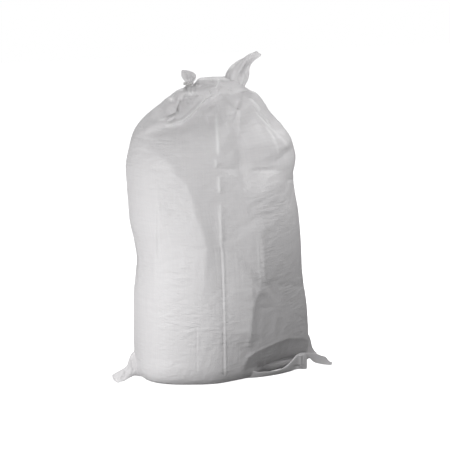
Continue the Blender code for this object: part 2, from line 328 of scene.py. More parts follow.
def left_of(side, sharp):
    """1 on the left of a line and 0 on its right, with a change as wide as sharp."""
    # So far from the line the change is over, and the exponential would only overflow
    far = 30
    return 1 / (1 + np.exp(np.clip(side / sharp, -far, far)))


# %% Strokes on one piece
# The grid of strokes behind, in metres to a step
BACK_STEP = 0.0025
# A stroke fades where the cloth turns away from whoever draws it, between these shares of facing
EDGE_ON, FACE_ON = -0.05, 0.25


class Strokes:
    """Gathers the strokes on one piece and moves its points once.

    They are drawn in pixels of the photograph. Those behind are drawn as seen squarely from the back, in
    steps of BACK_STEP: to the right of the middle, and down from the floor, so that heights are negative.
    """

    def __init__(self, piece, behind=False):
        self.piece = piece
        spots = points_of(piece)
        if behind:
            self.across, self.down = -spots[:, 0] / BACK_STEP, -spots[:, 2] / BACK_STEP
        else:
            self.across, self.down = seen_at(spots)
        facing = normals_of(piece) @ np.array((0, 1, 0) if behind else toward_camera)
        self.front = np.clip((facing - EDGE_ON) / (FACE_ON - EDGE_ON), 0, 1)
        self.distance = np.zeros(len(self.across))
        # How much paler each point is painted: strain whitening, and painted highlight on folds
        self.white = np.zeros(len(self.across))

    def whiten_and_highlight(self, line, amount, width, start=0.1, end=0.1):
        """Paints a fold's line paler: strained polypropylene turns whiter, and the same paler line is a
        painted highlight on the fold.
        """
        where, side = along(line, self.across, self.down)
        self.white += amount * np.exp(-((side / width) ** 2)) * fade(where, start, end)

    def ridge(self, line, height, width, start=0.15, end=0.15):
        """A soft ridge, or a groove where the height is negative."""
        where, side = along(line, self.across, self.down)
        self.distance += height * np.exp(-((side / width) ** 2)) * fade(where, start, end)

    def tent(self, line, height, left, right, start=0.15, end=0.15, crest=1.5):
        """A crease between two panels, which reach so far to the left and right of the line's direction."""
        where, side = along(line, self.across, self.down)
        away = np.sqrt(side**2 + crest**2) - crest
        self.distance += height * np.exp(-away / np.where(side < 0, left, right)) * fade(where, start, end)

    def step(self, line, height, reach, sharp, start=0.15, end=0.15):
        """The cloth steps back from the left of the line's direction to its right, half out and half in."""
        where, side = along(line, self.across, self.down)
        above = left_of(side, sharp) - 0.5
        self.distance += height * above * np.exp(-np.abs(side) / reach) * fade(where, start, end)

    def fall(self, line, depth, width, start=0.15, end=0.15):
        """The cloth falls back evenly from the line to its right, over this width."""
        where, side = along(line, self.across, self.down)
        self.distance -= depth * np.clip(side / width, 0, 1) * fade(where, start, end)

    def ledge(self, line, height, reach, sharp=1.2, start=0.15, end=0.15):
        """A fold that stands proud on the left of the line's direction and drops on its right."""
        where, side = along(line, self.across, self.down)
        faded = np.exp(-np.clip(-side, 0, None) / reach)
        self.distance += height * left_of(side, sharp) * faded * fade(where, start, end)

    def swell(self, centre, reach, height, turned=0.0):
        """A soft swelling, or a hollow where the height is negative."""
        c, s = math.cos(math.radians(turned)), math.sin(math.radians(turned))
        dx, dy = self.across - centre[0], self.down - centre[1]
        r = np.hypot((c * dx + s * dy) / reach[0], (c * dy - s * dx) / reach[1])
        self.distance += height * np.where(r < 1, (np.cos(np.pi * np.clip(r, 0, 1)) + 1) / 2, 0)

    def apply(self):
        """Move the points, and keep how much paler each is painted, for strain whitening and painted
        highlight on folds.
        """
        moved = self.distance * self.front
        push(self.piece, moved)
        inwards, outwards = (round(float(end) * 1000, 1) for end in (moved.min(), moved.max()))
        print(self.piece.name, "moved between", inwards, "and", outwards, "mm")
        if self.white.any():
            # The attribute holds painted highlight on the folds as well as strain whitening
            strain_white_and_highlight = self.piece.data.attributes.new("strain_white_and_highlight", "FLOAT", "POINT")
            strain_white_and_highlight.data.foreach_set("value", np.clip(self.white * self.front, 0, 1))


# %% [markdown]
# ## Large folds and hollows
# A full sack isn't smooth. Its front falls into a few flat panels with creases between them, its rolled
# mouth stands proud of the panel below, and pleats fan out where the cloth is gathered into an ear. These
# are drawn before the small folds, because the light follows them most.

# %% The left front and the rolled mouth
large = Strokes(sack)
# The left front is flat between its side crease and the long crease left of the middle
large.tent([(157, 160), (158, 205), (157, 262), (155, 330)], 0.0050, 10, 16, 0.3, 0.4)
large.tent([(186, 150), (197, 230), (212, 300), (217, 350), (214, 420)], 0.0120, 30, 32, 0.4, 0.2, 12.0)
large.tent([
    (146, 146), (162, 158), (172, 165), (177, 176), (187, 184), (192, 198), (196, 214), (202, 230),
    (206, 246), (205, 275), (203, 310),
], 0.0085, 14, 12, 0.15, 0.4, 2.5)
# The rolled mouth stands proud of the panel below it
large.step([
    (134, 138), (148, 132), (160, 126), (167, 123.5), (181, 120), (188, 115), (198, 105), (206, 97),
    (213, 92.5), (226, 91),
], 0.014, 16, 1.8, 0.25)
large.swell((228, 122), (18, 34), 0.010, 8)
large.swell((252, 114), (24, 40), 0.012)
large.swell((247, 117), (15, 26), 0.008)
large.swell((258, 165), (26, 32), -0.010)

# %% The right front, its pleats and the hollow above the hem
# The right side is fullest at its middle height
large.swell((268, 235), (56, 140), 0.014)
# Pleats fan out from the foot of the long ear: a long valley, then ridges with the light on their left
large.tent([(239.5, 96), (241, 120), (241.5, 145), (243.5, 168), (248, 205)], -0.0215, 26, 14, 0.25, 0.5, 0.8)
large.tent([(247, 106), (254, 120), (262, 138), (269, 152), (274, 162)], 0.0085, 12, 14, 0.3, 0.4, 1.0)
large.tent([(252, 106), (262, 117), (272, 129), (281, 139), (291, 152)], 0.0125, 5, 14, 0.4, 0.2, 0.6)
large.tent([(250, 218), (257, 232), (259, 250), (260, 268), (262, 288)], 0.0050, 9, 16, 0.2, 0.2, 1.0)
# It turns under in a crease at the lower right
large.tent([(264, 282), (253, 291), (249, 305), (248, 325), (246, 352)], 0.0110, 12, 24, 0.15, 0.3, 2.0)
# The lower right is drawn in above the hem, which flares out
large.fall([
    (240, 376), (243, 364), (248, 356), (257, 350), (267, 346), (278, 341), (288, 338), (300, 338),
    (322, 342),
], 0.030, 30, 0.1, 0.2)
large.apply()

# %% [markdown]
# ## The back
# The photograph doesn't show the back. It is taken as a softer version of the front: pleats below the
# rolled mouth, a hollow under them, and long folds that rise from the floor.

# %% Hollows and long folds of the back
back = Strokes(sack, behind=True)
back.swell((-8, -240), (48, 32), -0.010)
back.swell((44, -132), (48, 48), -0.005)
back.tent([(-14, -280), (-26, -262), (-44, -240), (-58, -212)], 0.0070, 10, 14, 0.3, 0.5, 1.0)
back.tent([(22, -282), (30, -262), (44, -238), (56, -215)], 0.0065, 13, 9, 0.3, 0.5, 1.0)
back.tent([(6, -282), (4, -255), (8, -215), (4, -170)], 0.0055, 12, 14, 0.3, 0.5, 1.0)
back.tent([(-62, -200), (-40, -190), (-12, -193), (14, -204)], -0.0045, 10, 12, 0.35, 0.45, 1.5)
back.tent([(68, -150), (48, -118), (40, -80), (44, -45)], 0.0055, 14, 12, 0.35, 0.4, 1.5)
back.tent([(-60, -160), (-52, -120), (-58, -70), (-54, -35)], 0.0050, 12, 14, 0.35, 0.4, 1.5)
back.tent([(-70, -62), (-40, -54), (-8, -60)], -0.0035, 8, 9, 0.4, 0.4, 1.2)
back.swell((6, -70), (40, 50), 0.006)
back.apply()

# %% [markdown]
# ## Letting the cloth buckle
# Woven polypropylene is stiff, so spare length in it buckles into crisp small wrinkles. They could be
# painted as a bump, but Blender's cloth solver finds where they run. The cloth is given a little more
# length than the shape needs, most where a sack is slack, and every point is held near its place by a weak
# spring. The bottom and the crest don't move.

# %% Where the cloth is slack, and where it is held
def make_group(piece, name, weights):
    """A vertex group with these weights, rounded to hundredths."""
    group = piece.vertex_groups.new(name=name)
    for level in np.unique(np.round(weights, 2)):
        members = np.nonzero(np.round(weights, 2) == level)[0]
        group.add([int(i) for i in members], float(level), "REPLACE")


STANDING, CREST = 0.012, 0.722
WEAK_SPRING = 0.15
places = points_of(sack)
across, down = seen_at(places)
# Each part of the sack is a mask: where it begins, and how far it takes to rise from 0 to 1
shoulder = np.clip((places[:, 2] - 0.54) / 0.10, 0, 1)
right_half = np.clip((across - 225) / 40, 0, 1)
low_left = np.clip((170 - across) / 30, 0, 1) * np.clip((down - 300) / 40, 0, 1)
behind = np.clip(places[:, 1] / 0.06, 0, 1)
slack = np.clip(0.30 + 0.40 * right_half + 0.5 * shoulder + 0.3 * low_left + 0.3 * behind, 0, 1)
held = np.where((places[:, 2] < STANDING) | (places[:, 2] > CREST), 1.0, WEAK_SPRING)
make_group(sack, "taut", 1 - slack)
make_group(sack, "held", held)
print("slack from", round(slack.min(), 2), "to", round(slack.max(), 2))


# %% The cloth solver
def buckle(piece, spare, frames=16):
    """Each vertex's place after the cloth has found room for its spare length, a share of its own."""
    cloth = piece.modifiers.new("buckle", "CLOTH")
    settings = cloth.settings
    settings.quality = 6
    settings.mass = 0.15
    settings.tension_stiffness = 40
    settings.compression_stiffness = 40
    settings.shear_stiffness = 20
    settings.bending_stiffness = 0.5
    settings.air_damping = 3
    settings.vertex_group_mass = "held"
    settings.pin_stiffness = 1.0
    settings.effector_weights.gravity = 0
    # A negative shrink lengthens the cloth. Where the group's weight is 1, it keeps its length.
    settings.vertex_group_shrink = "taut"
    settings.shrink_min = -spare
    settings.shrink_max = 0.0
    cloth.point_cache.frame_start = 1
    cloth.point_cache.frame_end = frames
    for step in range(1, frames + 1):
        bpy.context.scene.frame_set(step)
    solved = piece.evaluated_get(bpy.context.evaluated_depsgraph_get())
    buckled = np.zeros(len(piece.data.vertices) * 3)
    solved.data.vertices.foreach_get("co", buckled)
    piece.modifiers.remove(cloth)
    bpy.context.scene.frame_set(1)
    return buckled.reshape(-1, 3)


# %% Wrinkles from spare length
SPARE_LENGTH = 0.016
LONGEST_MOVE, NO_MOVE = 0.004, 1e-9
# The photographed cloth is filled tight, so only this share of the solved movement is kept
WRINKLE_SHARE = 0.5
moved = buckle(sack, SPARE_LENGTH) - places
size = np.linalg.norm(moved, axis=1, keepdims=True)
moved *= np.minimum(1, LONGEST_MOVE / np.maximum(size, NO_MOVE))
wrinkled = places + moved * WRINKLE_SHARE
wrinkled[:, 2] = np.maximum(wrinkled[:, 2], 0)
sack.data.vertices.foreach_set("co", wrinkled.ravel())
sack.data.update()
print("the cloth moved", round(float(size.mean()) * 1000, 2), "mm on average")
sack.vertex_groups.clear()

# %% [markdown]
# ## Small folds
# The smallest folds are 2 or 3 mm wide, narrower than a face of the body. One level of Subdivision Surface
# gives the cloth points enough to carry them. It is applied before they are drawn, so that they stay
# crisp.

# %% Finer cloth
def refine(piece):
    """Four faces for each face, rounded off between them."""
    only(piece)
    finer = piece.modifiers.new("finer", "SUBSURF")
    finer.levels = finer.render_levels = 1
    bpy.ops.object.modifier_apply(modifier=finer.name)
    print(piece.name, len(piece.data.polygons), "faces after subdivision")


refine(sack)

# %% The fine crease down the middle, and those beside it
small = Strokes(sack)
small.tent([(216.0, 102), (217.4, 120), (219.2, 158)], 0.0046, 5.0, 2.6, 0.5, 0.3, 0.4)
small.tent([(215.4, 157), (217.0, 169)], 0.0028, 3.0, 2.2, 0.4, 0.4, 0.4)
small.tent([(218.6, 174), (220.2, 195)], 0.0034, 5.0, 2.2, 0.2, 0.2, 0.4)
small.tent([(220.0, 202), (221.6, 246)], 0.0032, 5.0, 2.2, 0.2, 0.2, 0.4)
small.ridge([(221, 240), (222.6, 250), (224, 276), (225, 320), (225.8, 377)], 0.0012, 0.9, 0.05, 0.03)
small.ridge([(220.4, 245), (222.2, 276), (223.4, 320), (224, 377)], -0.0010, 0.8, 0.05, 0.03)
small.ridge([(196.5, 322), (197, 376)], -0.0007, 0.9, 0.2)
small.ridge([(257.5, 230), (259, 262), (261.5, 290)], 0.0005, 1.0, 0.2, 0.2)
small.ridge([(157, 200), (158, 262)], -0.0012, 1.2)
small.ridge([(205, 103), (208.4, 118), (210.8, 136)], -0.0040, 2.8, 0.5, 0.5)

# %% Folds below the left ear and along the rolled mouth
roll_edge = [
    (164, 124.8), (174, 123), (182, 120.4), (189, 114.6), (197, 106.4), (204, 99.2), (210, 94.6), (219, 93.6),
]
# The dark crease that runs down from the left ear, and the pouch beside it
small.ridge([(183.5, 94), (180.6, 99), (177.8, 106), (176.6, 115)], -0.0070, 2.4, 0.3, 0.3)
small.tent([(177, 110), (171, 113), (165, 116), (157, 120)], -0.0060, 3.0, 5.0, 0.2, 0.4, 0.8)
small.ridge([(177, 116), (172, 119.6), (166, 122.8)], -0.0040, 1.8, 0.3, 0.3)
small.swell((170, 104), (10, 9), 0.0060, -35)
small.ridge([(184.6, 88), (185.4, 93), (184, 97)], -0.0018, 1.0)
# The light edge of the rolled mouth
small.ridge(roll_edge, 0.0056, 1.6, 0.1, 0.1)
small.ridge([(209, 92), (213, 91), (219.6, 90.6)], -0.0040, 1.4, 0.2, 0.05)
small.ridge([(219.4, 79), (217.6, 83.5), (215.4, 89)], 0.0022, 1.1)
# A hollow under the middle of the roll
small.swell((209, 103), (12, 9), -0.0060, -40)
# Gathers below the pinched ear
small.ridge([(187.4, 86.6), (189, 91), (191.4, 96)], 0.0022, 0.9, 0.05, 0.4)
small.ridge([(189.4, 86), (192.4, 90), (194.6, 95)], 0.0020, 0.9, 0.05, 0.5)
small.ridge([(190.8, 89), (192, 94)], -0.0010, 0.8)
small.ridge([(195.6, 80.6), (195, 86), (195.4, 93)], -0.0022, 0.8)
small.ridge([(198.2, 81.5), (198, 87)], -0.0018, 0.7)
small.ridge([(195.6, 91), (196.6, 97)], -0.0016, 1.4, 0.4, 0.4)
small.ridge([(186, 97), (188, 104)], -0.0016, 1.2)
small.ridge([(190, 99), (192, 106)], 0.0014, 1.4)

# %% Folds below the long ear and over the right shoulder
# The three-cornered flap under the long ear, and the dark dimple at its tip
small.ledge([(241, 91), (241, 101), (237, 110.4), (228.5, 103.5), (220, 93)], 0.0040, 12, 0.8, 0.05, 0.05)
small.ridge([(239, 100), (238, 110)], -0.0032, 2.2, 0.4, 0.2)
small.ridge([(227, 89.6), (233, 89.4)], -0.0022, 0.8, 0.3, 0.3)
# Folds that fan over the right shoulder
small.ridge([(248, 97.5), (256, 104), (263, 110)], 0.0022, 1.1, 0.2, 0.3)
small.tent([(252, 104), (258, 109), (268, 120), (277, 129), (286, 134)], -0.0085, 4.0, 2.6, 0.3, 0.3, 0.4)
small.ridge([(256, 110.5), (264, 119), (272, 129.5), (282, 139), (290, 150)], 0.0016, 1.0, 0.2, 0.2)
small.ridge([(266, 125), (274, 138), (278.5, 154)], 0.0018, 1.1, 0.2, 0.3)
small.ridge([(262, 105), (276, 117), (286, 129)], -0.0018, 1.3)

# %% Creases across the cloth
# Above each line the cloth faces down, and below it faces up
small.tent([(248, 170.6), (262, 170.4), (272, 169.8), (286, 169.6)], -0.0074, 6.0, 9.0, 0.35, 0.35, 0.4)
small.tent([(214.5, 168.6), (228, 169.2), (241, 168.4)], -0.0024, 3.0, 3.0, 0.3, 0.3, 0.4)
small.tent([(148, 168.5), (158, 169.4), (167, 168)], -0.0016, 4.0, 3.0, 0.4, 0.4, 0.5)
small.tent([(226, 291), (242, 291.5), (257, 290)], 0.0030, 5, 12, 0.3, 0.2, 0.6)
small.ridge([(286, 180), (296, 180)], -0.0014, 1.8, 0.5, 0.1)

# %% [markdown]
# Polypropylene turns whiter where a sharp fold has stretched it, and the photograph shows fine white lines
# on the sharpest folds. Those lines are painted paler here, partly as strain whitening and partly as a
# painted highlight on the folds' crests. How much paler each point is goes into an attribute of the mesh,
# which the finish reads later.

# %% The sharpest folds are strained white, and a highlight is painted along them
small.whiten_and_highlight([(216.0, 112), (216.8, 130), (218.0, 157)], 1.0, 1.5, 0.2, 0.12)
small.whiten_and_highlight([(215.2, 159), (215.8, 168)], 0.7, 1.2)
small.whiten_and_highlight([(218.4, 176), (218.9, 194)], 0.8, 1.0)
small.whiten_and_highlight([(220.0, 203), (220.6, 247)], 0.5, 1.0)
small.whiten_and_highlight([(222.6, 250), (224, 276), (225.4, 320), (225.9, 377)], 0.35, 0.9, 0.03, 0.03)
small.whiten_and_highlight([(257.4, 232), (259, 262), (261.4, 290)], 0.4, 1.0, 0.2, 0.2)
small.whiten_and_highlight([(219.2, 79), (217.6, 83.5), (215.4, 89)], 0.8, 1.0)
small.whiten_and_highlight(roll_edge[1:], 0.5, 1.2)
small.whiten_and_highlight([(248, 98), (256, 104.5), (262, 110)], 0.7, 1.1)
small.whiten_and_highlight([(255, 110.5), (265, 121), (276, 133), (284, 142), (290, 150)], 0.8, 1.3)
small.whiten_and_highlight([(265, 125), (275, 140), (279, 155)], 0.7, 1.1)
small.whiten_and_highlight([(250, 171.6), (282, 171.2)], 0.35, 1.4, 0.2, 0.2)
small.whiten_and_highlight([(187.6, 88), (189.4, 92), (192, 96)], 0.9, 0.9)
small.whiten_and_highlight([(190.4, 88), (193.4, 94)], 0.7, 0.8)
small.apply()

# %% Small folds of the back
back = Strokes(sack, behind=True)
back.tent([(0, -236), (1, -180), (-1, -100), (0, -30)], 0.0012, 2.0, 2.0, 0.05, 0.05, 0.5)
back.ridge([(-10, -281), (-16, -268), (-24, -256)], 0.0030, 2.0, 0.2, 0.5)
back.ridge([(-2, -282), (-6, -266), (-9, -250)], 0.0026, 1.8, 0.2, 0.5)
back.ridge([(14, -282), (17, -268), (23, -252)], 0.0030, 2.0, 0.2, 0.5)
back.ridge([(32, -281), (44, -270), (58, -256)], 0.0026, 2.0, 0.2, 0.5)
back.ridge([(-24, -279), (-38, -270), (-54, -254)], 0.0026, 2.0, 0.2, 0.5)
back.tent([(-80, -222), (-56, -226), (-30, -222)], -0.0026, 5, 4, 0.4, 0.4, 0.6)
back.tent([(28, -176), (52, -180), (76, -175)], -0.0030, 5, 4, 0.4, 0.4, 0.6)
back.tent([(-40, -96), (-16, -99), (10, -95)], -0.0022, 4, 4, 0.4, 0.4, 0.6)
back.apply()

# %% [markdown]
# ## Flaps of loose cloth
# Each ear and corner is a flat doubled strip of the same cloth. A bent plane with Solidify could stand for
# it, but its outline matters most. So it is lofted between its two edges, which are placed where the
# photograph shows them. The ears, the left corner and the hem are then folded with the same strokes as the
# body.

# %% A flap between its two edges
# No flap reaches lower than this, just clear of the floor
CLEAR_OF_FLOOR = 0.0004


def flap(name, edges, around=44, rows=80, power=2.4):
    """A doubled strip of cloth, lofted and made finer.

    Each row of edges is a point on one edge, one on the other, half the thickness, and how far it is cupped.
    """
    table = np.array([(i, *a, *b, thick, cup) for i, (a, b, thick, cup) in enumerate(edges)])
    values = through(table, np.linspace(0, len(edges) - 1, rows))
    middle, half = (values[:, 0:3] + values[:, 3:6]) / 2, (values[:, 3:6] - values[:, 0:3]) / 2
    face = np.cross(np.gradient(middle, axis=0), half)
    face /= np.linalg.norm(face, axis=1, keepdims=True)
    face *= np.sign((face @ np.array(toward_camera)).sum())
    turn = np.linspace(0, 2 * np.pi, around, endpoint=False)
    wide = np.sign(np.cos(turn)) * np.abs(np.cos(turn)) ** (2 / power)
    thin = np.sign(np.sin(turn)) * np.abs(np.sin(turn)) ** (2 / power)
    rise = values[:, 6, None] * thin - values[:, 7, None] * (1 - wide**2)
    rings = middle[:, None] + half[:, None] * wide[None, :, None] + face[:, None] * rise[..., None]
    rings[..., 2] = np.maximum(rings[..., 2], CLEAR_OF_FLOOR)
    girth = 4 * float(np.linalg.norm(half, axis=1).max())
    made = skin(name, rings.reshape(-1, 3), around, girth)
    low, high = rings.reshape(-1, 3).min(axis=0), rings.reshape(-1, 3).max(axis=0)
    print(name, "from", np.round(low, 4).tolist(), "to", np.round(high, 4).tolist())
    refine(made)
    return made


# %% [markdown]
# The left ear is a short tuft. It stands on a wide foot of gathered cloth, is pinched to a neck by the
# twine, and opens again above it. The rows go from the foot up.

# %% The left ear, pinched by the twine
left_ear = flap("left_ear", [
    (spot(180.0, 99.0, 0.000), spot(197.0, 97.0, 0.000), 0.0150, 0.0),
    (spot(183.0, 90.0, 0.000), spot(195.5, 89.0, 0.000), 0.0120, 0.0),
    (spot(186.0, 85.6, 0.000), spot(193.6, 84.2, 0.000), 0.0085, 0.0),
    (spot(186.4, 83.6, 0.000), spot(193.4, 81.6, 0.000), 0.0078, 0.0),
    (spot(184.4, 80.8, 0.000), spot(195.4, 79.6, 0.000), 0.0070, 0.0),
    (spot(181.8, 77.0, 0.001), spot(196.2, 76.4, 0.002), 0.0050, 0.0015),
    (spot(181.2, 73.4, 0.001), spot(194.8, 73.4, 0.003), 0.0036, 0.0025),
    (spot(181.5, 70.8, 0.002), spot(191.0, 71.2, 0.003), 0.0026, 0.0015),
    (spot(182.6, 69.8, 0.002), spot(187.0, 70.1, 0.003), 0.0014, 0.0),
])
ear_folds = Strokes(left_ear)
ear_folds.ridge([(191, 73), (193.4, 77), (192, 80.5), (188, 83.2)], -0.0030, 1.1, 0.3, 0.1)
ear_folds.ridge([(186.5, 71), (187.6, 76), (188.6, 83)], -0.0012, 1.0)
ear_folds.ridge([(184.4, 72), (186, 77), (187.2, 82)], 0.0012, 1.2)
ear_folds.ridge([(189.6, 72), (190, 77), (189.4, 82)], 0.0013, 1.0)
ear_folds.apply()

# %% [markdown]
# The right ear is a long horn. It rises from the roll and curves to the right, and its lower side is
# cupped, so that a dark valley runs down from its tip.

# %% The long right ear
right_ear = flap("right_ear", [
    (spot(221.0, 104.0, -0.002), spot(243.5, 104.0, -0.002), 0.0220, 0.0),
    (spot(222.0, 93.0, -0.001), spot(243.6, 94.0, -0.001), 0.0185, 0.0),
    (spot(223.6, 84.0, -0.006), spot(244.2, 86.0, 0.000), 0.0150, 0.0),
    (spot(225.4, 76.0, -0.008), spot(247.6, 80.0, 0.000), 0.0110, 0.0),
    (spot(227.6, 70.6, -0.007), spot(249.0, 74.5, 0.000), 0.0095, 0.001),
    (spot(231.4, 65.8, 0.000), spot(249.4, 69.4, -0.002), 0.0090, 0.003),
    (spot(236.6, 62.6, 0.000), spot(251.0, 64.6, -0.003), 0.0075, 0.004),
    (spot(242.4, 58.2, 0.000), spot(253.8, 61.2, -0.003), 0.0058, 0.004),
    (spot(248.4, 54.2, 0.000), spot(257.0, 58.8, -0.003), 0.0044, 0.003),
    (spot(254.2, 52.0, 0.000), spot(260.0, 56.6, -0.002), 0.0028, 0.001),
    (spot(256.4, 51.0, 0.000), spot(261.8, 54.8, -0.001), 0.0016, 0.0),
])
horn_folds = Strokes(right_ear)
horn_folds.ridge([(255, 54.6), (249, 58.4), (245, 64), (242, 70), (239, 78)], -0.0110, 2.8, 0.5, 0.3)
horn_folds.ridge([(246, 58.5), (240, 62.5), (235, 68), (232, 75), (230, 86)], 0.0050, 3.4, 0.35, 0.2)
horn_folds.ridge([(229.6, 72), (228.4, 80), (229, 88)], -0.0018, 1.4)
horn_folds.ridge([(238.6, 74), (237.6, 80), (237.2, 86)], -0.0024, 1.3)
horn_folds.ridge([(235.2, 74), (234.6, 80), (234.4, 86)], 0.0012, 1.1)
horn_folds.ridge([(243.6, 72), (242.6, 79), (241.4, 86)], 0.0020, 1.4)
horn_folds.ridge([(246.2, 73), (245.4, 79), (243.6, 85)], -0.0016, 1.0)
horn_folds.apply()

# %% [markdown]
# The two corners of the sewn bottom stick out as flat tabs. The left one starts upright in the sack's side
# and is twisted over to lie on the floor. The right one is three flaps: a flare that stands out of the
# side, a tab swept forward on the floor, and a web of cloth between them.

# %% The left corner
left_corner = flap("left_corner", [
    (spot(146.0, 352.0, 0.000), spot(146.0, 377.0, 0.000), 0.0110, 0.0),
    (spot(136.4, 350.0, 0.001), spot(139.0, 376.0, 0.000), 0.0085, 0.0),
    (spot(131.4, 353.6, 0.002), spot(134.6, 375.6, -0.001), 0.0060, 0.0),
    (spot(128.8, 359.0, 0.004), spot(131.6, 376.8, -0.003), 0.0040, 0.001),
    (spot(126.8, 365.4, 0.008), spot(128.4, 378.6, -0.007), 0.0028, 0.002),
    (spot(122.6, 368.6, 0.013), spot(124.8, 380.4, -0.011), 0.0022, 0.002),
    (spot(117.6, 371.4, 0.016), spot(121.4, 381.6, -0.013), 0.0018, 0.001),
    (spot(113.4, 373.8, 0.017), spot(117.6, 382.8, -0.013), 0.0016, 0.0),
    (spot(111.8, 375.0, 0.017), spot(112.8, 379.4, -0.002), 0.0012, 0.0),
])
corner_folds = Strokes(left_corner)
corner_folds.ridge([(131.6, 360), (132, 366), (134.5, 372)], -0.0022, 1.4)
corner_folds.ridge([(127.4, 367), (122, 373), (118, 381)], 0.0012, 1.4)
corner_folds.ridge([(130.5, 367), (126, 372), (124, 379)], -0.0012, 1.4)
corner_folds.apply()

# %% The right corner: flare and tab
flare = flap("flare", [
    (spot(300.0, 326.0, -0.024), spot(298.0, 368.0, -0.040), 0.0110, 0.0),
    (spot(308.4, 335.0, 0.002), spot(305.0, 364.0, -0.026), 0.0070, 0.0),
    (spot(311.8, 346.5, 0.010), spot(309.8, 360.0, -0.015), 0.0040, 0.0),
    (spot(315.4, 351.8, 0.014), spot(313.4, 358.0, -0.006), 0.0022, 0.0),
    (spot(316.8, 353.4, 0.016), spot(316.4, 354.8, 0.010), 0.0012, 0.0),
])
right_corner = flap("right_corner", [
    (spot(300.0, 354.0, -0.086), spot(300.0, 364.0, -0.088), 0.0026, 0.0),
    (spot(308.0, 352.8, -0.082), spot(308.4, 358.2, -0.085), 0.0026, 0.0),
    (spot(315.0, 353.6, -0.078), spot(314.0, 362.2, -0.084), 0.0024, 0.001),
    (spot(321.0, 355.3, -0.076), spot(319.6, 363.8, -0.083), 0.0022, 0.001),
    (spot(325.8, 356.9, -0.075), spot(324.6, 364.6, -0.083), 0.0020, 0.001),
    (spot(328.6, 360.4, -0.076), spot(328.6, 364.8, -0.083), 0.0018, 0.0),
    (spot(332.4, 362.2, -0.078), spot(331.8, 364.8, -0.083), 0.0013, 0.0),
])

# %% The right corner: the cloth between the flare and the tab lies on the floor
corner_web = flap("corner_web", [
    ((0.200, 0.010, 0.0060), (0.200, -0.028, 0.010), 0.0030, 0.0),
    ((0.222, 0.014, 0.0050), (0.216, -0.024, 0.008), 0.0026, 0.0),
    ((0.244, 0.013, 0.0030), (0.232, -0.024, 0.006), 0.0022, 0.0),
    ((0.258, 0.004, 0.0022), (0.243, -0.040, 0.005), 0.0018, 0.0),
    ((0.2645, -0.020, 0.0020), (0.249, -0.062, 0.005), 0.0014, 0.0),
    ((0.2665, -0.045, 0.0020), (0.254, -0.080, 0.005), 0.0012, 0.0),
    ((0.2660, -0.066, 0.0020), (0.262, -0.080, 0.004), 0.0010, 0.0),
])

# %% [markdown]
# The bottom is folded over and sewn, and its hem is squeezed out along the front right. It ends in a cut
# edge that stands upright, with the tab of the corner behind it.

# %% The hem, with its upright cut end
hem = flap("hem", [
    (spot(243.0, 372.6, -0.100), spot(242.0, 378.4, -0.097), 0.0016, 0.0),
    (spot(248.5, 368.0, -0.101), spot(248.0, 378.0, -0.096), 0.0024, 0.0),
    (spot(254.5, 371.6, -0.105), spot(257.0, 377.4, -0.095), 0.0024, 0.0),
    (spot(264.0, 371.8, -0.106), spot(266.0, 376.8, -0.094), 0.0024, 0.0),
    (spot(274.0, 370.8, -0.104), spot(276.0, 374.8, -0.093), 0.0024, 0.0),
    (spot(281.6, 368.6, -0.102), spot(285.0, 372.6, -0.092), 0.0024, 0.0),
    (spot(287.6, 364.6, -0.099), spot(291.2, 371.0, -0.091), 0.0026, 0.0),
    (spot(292.8, 359.8, -0.096), spot(295.6, 369.4, -0.089), 0.0026, 0.001),
    (spot(296.8, 355.2, -0.093), spot(299.6, 368.9, -0.087), 0.0026, 0.002),
    (spot(301.0, 352.8, -0.090), spot(303.2, 369.2, -0.084), 0.0026, 0.0),
    (spot(306.8, 352.6, -0.090), spot(306.8, 370.2, -0.085), 0.0022, 0.0),
])
hem_folds = Strokes(hem)
hem_folds.tent([(300.2, 354), (300.6, 367)], 0.0032, 2.4, 4.5, 0.1, 0.2, 0.4)
hem_folds.ridge([(294.5, 366), (303.5, 365.5)], -0.0020, 1.2)
hem_folds.apply()

# %% [markdown]
# All of this is one sack on the real object, so all of it becomes one piece, whose points are joined and
# whose faces are shaded smooth. It rides on the root of the CAD model, because nothing on a sack moves on
# its own.

# %% One piece of cloth
only(sack)
for part in (left_ear, right_ear, left_corner, flare, right_corner, corner_web, hem):
    part.select_set(True)
bpy.ops.object.join()
sack.name = sack.data.name = "sack_cloth"
sack.data.shade_smooth()
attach(sack, "root")
print(sack.name, len(sack.data.polygons), "faces")

# %% [markdown]
# ## Twine and thread
# The twine pinches the left ear in two and a half turns and runs on along the back of the rolled mouth.
# Its route is the CAD solid's. Real twine is two plies twisted together. A bump could show the twist, but
# two thin tubes that wind round the route also give its knobbly outline.

# %% A smooth route through points
def smooth_route(points, step, pieces=60):
    """Points every step metres along a smooth curve, which is measured in so many pieces for each point."""
    table = np.array([(i, *p) for i, p in enumerate(points)], float)
    fine = through(table, np.linspace(0, len(points) - 1, pieces * len(points)))
    gone = np.concatenate([[0], np.cumsum(np.linalg.norm(np.diff(fine, axis=0), axis=1))])
    at = np.linspace(0, gone[-1], max(2, round(gone[-1] / step)))
    return np.stack([np.interp(at, gone, fine[:, k]) for k in range(3)], axis=1)


# %% A closed tube along a route
def frames_along(route):
    """Tangent and two square directions at each point, carried along without twisting."""
    tangents = np.gradient(route, axis=0)
    tangents /= np.linalg.norm(tangents, axis=1, keepdims=True)
    # Any direction will do that the route doesn't start in
    side = np.cross(tangents[0], (0.0, 0.3, 1.0))
    sides = []
    for t in tangents:
        side = side - t * (side @ t)
        side /= np.linalg.norm(side)
        sides.append(side)
    sides = np.array(sides)
    return tangents, sides, np.cross(tangents, sides)


